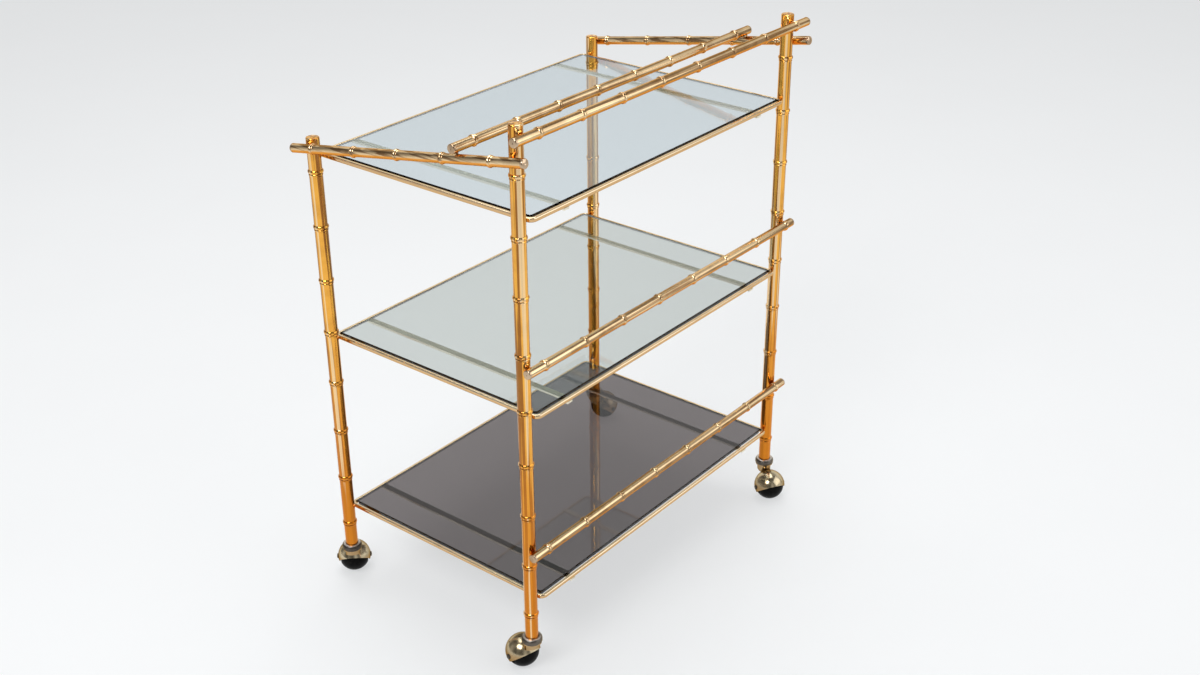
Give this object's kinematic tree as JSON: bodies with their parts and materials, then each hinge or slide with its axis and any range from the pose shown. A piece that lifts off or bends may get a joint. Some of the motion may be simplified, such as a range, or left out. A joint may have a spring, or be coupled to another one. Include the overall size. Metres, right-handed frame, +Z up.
{
  "type": "bar cart",
  "caption": "Rolling bar cart: bamboo-form brass tube frame, framed glass shelves, raised gallery rails and hooded ball casters.",
  "frame": {"origin": "on the floor, below the centre of the whole cart's bounding box, casters as posed", "axes": "+Z up, +X along the long side, +Y from the side with the raised rails (front) to the back"},
  "size_m": [0.6754, 0.4543, 0.8257],
  "materials": {
    "polished_brass": "polished, aged",
    "frame_brass": "polished, pale",
    "smoked_glass": "smoked, clear",
    "collar_bronze": "antique bronze",
    "hood_brass": "worn brass",
    "wheel_black": "hard, semi-gloss",
    "caster_steel": "plain"
  },
  "bodies": {
    "cart": {"rail_pins": "polished_brass", "shelf_pins": "polished_brass", "front_left_post": "polished_brass", "front_left_post_cap": "polished_brass", "front_right_post": "polished_brass", "front_right_post_cap": "polished_brass", "back_left_post": "polished_brass", "back_left_post_cap": "polished_brass", "back_right_post": "polished_brass", "back_right_post_cap": "polished_brass", "inner_rail_studs": "polished_brass", "front_top_rail": "polished_brass", "front_top_rail_caps": "polished_brass", "inner_top_rail": "polished_brass", "inner_top_rail_caps": "polished_brass", "middle_front_rail": "polished_brass", "middle_front_rail_caps": "polished_brass", "lower_front_rail": "polished_brass", "lower_front_rail_caps": "polished_brass", "left_end_rail": "polished_brass", "left_end_rail_caps": "polished_brass", "right_end_rail": "polished_brass", "right_end_rail_caps": "polished_brass", "lower_shelf_frame": "frame_brass", "lower_shelf_left_crossbar": "frame_brass", "lower_shelf_right_crossbar": "frame_brass", "lower_shelf_glass": "smoked_glass", "middle_shelf_frame": "frame_brass", "middle_shelf_left_crossbar": "frame_brass", "middle_shelf_right_crossbar": "frame_brass", "middle_shelf_glass": "smoked_glass", "top_shelf_frame": "frame_brass", "top_shelf_left_crossbar": "frame_brass", "top_shelf_right_crossbar": "frame_brass", "top_shelf_glass": "smoked_glass", "front_left_caster_collar": "collar_bronze", "front_left_caster_socket": "caster_steel", "front_right_caster_collar": "collar_bronze", "front_right_caster_socket": "caster_steel", "back_left_caster_collar": "collar_bronze", "back_left_caster_socket": "caster_steel", "back_right_caster_collar": "collar_bronze", "back_right_caster_socket": "caster_steel"},
    "front_left_swivel": {"front_left_caster_stem": "caster_steel", "front_left_caster_hood": "hood_brass", "front_left_caster_axle": "hood_brass"},
    "front_left_wheel": {"front_left_caster_wheel": "wheel_black"},
    "front_right_swivel": {"front_right_caster_stem": "caster_steel", "front_right_caster_hood": "hood_brass", "front_right_caster_axle": "hood_brass"},
    "front_right_wheel": {"front_right_caster_wheel": "wheel_black"},
    "back_left_swivel": {"back_left_caster_stem": "caster_steel", "back_left_caster_hood": "hood_brass", "back_left_caster_axle": "hood_brass"},
    "back_left_wheel": {"back_left_caster_wheel": "wheel_black"},
    "back_right_swivel": {"back_right_caster_stem": "caster_steel", "back_right_caster_hood": "hood_brass", "back_right_caster_axle": "hood_brass"},
    "back_right_wheel": {"back_right_caster_wheel": "wheel_black"}
  },
  "joints": [
    {"name": "front_left_swivel_turn", "type": "hinge", "parent": "cart", "child": "front_left_swivel", "pos_m": [-0.31122, -0.18254, 0.0555], "axis": [0, 0, 1], "continuous": true},
    {"name": "front_left_wheel_roll", "type": "hinge", "parent": "front_left_swivel", "child": "front_left_wheel", "pos_m": [-0.30593, -0.15964, 0.0236], "axis": [-0.9744, 0.225, 0], "continuous": true},
    {"name": "front_right_swivel_turn", "type": "hinge", "parent": "cart", "child": "front_right_swivel", "pos_m": [0.29079, -0.18254, 0.0555], "axis": [0, 0, 1], "continuous": true},
    {"name": "front_right_wheel_roll", "type": "hinge", "parent": "front_right_swivel", "child": "front_right_wheel", "pos_m": [0.27868, -0.20268, 0.0236], "axis": [0.8572, -0.515, 0], "continuous": true},
    {"name": "back_left_swivel_turn", "type": "hinge", "parent": "cart", "child": "back_left_swivel", "pos_m": [-0.31122, 0.18546, 0.0555], "axis": [0, 0, 1], "continuous": true},
    {"name": "back_left_wheel_roll", "type": "hinge", "parent": "back_left_swivel", "child": "back_left_wheel", "pos_m": [-0.2946, 0.20208, 0.0236], "axis": [-0.7071, 0.7071, 0], "continuous": true},
    {"name": "back_right_swivel_turn", "type": "hinge", "parent": "cart", "child": "back_right_swivel", "pos_m": [0.29079, 0.18546, 0.0555], "axis": [0, 0, 1], "continuous": true},
    {"name": "back_right_wheel_roll", "type": "hinge", "parent": "back_right_swivel", "child": "back_right_wheel", "pos_m": [0.31406, 0.18219, 0.0236], "axis": [0.1392, 0.9903, 0], "continuous": true}
  ]
}
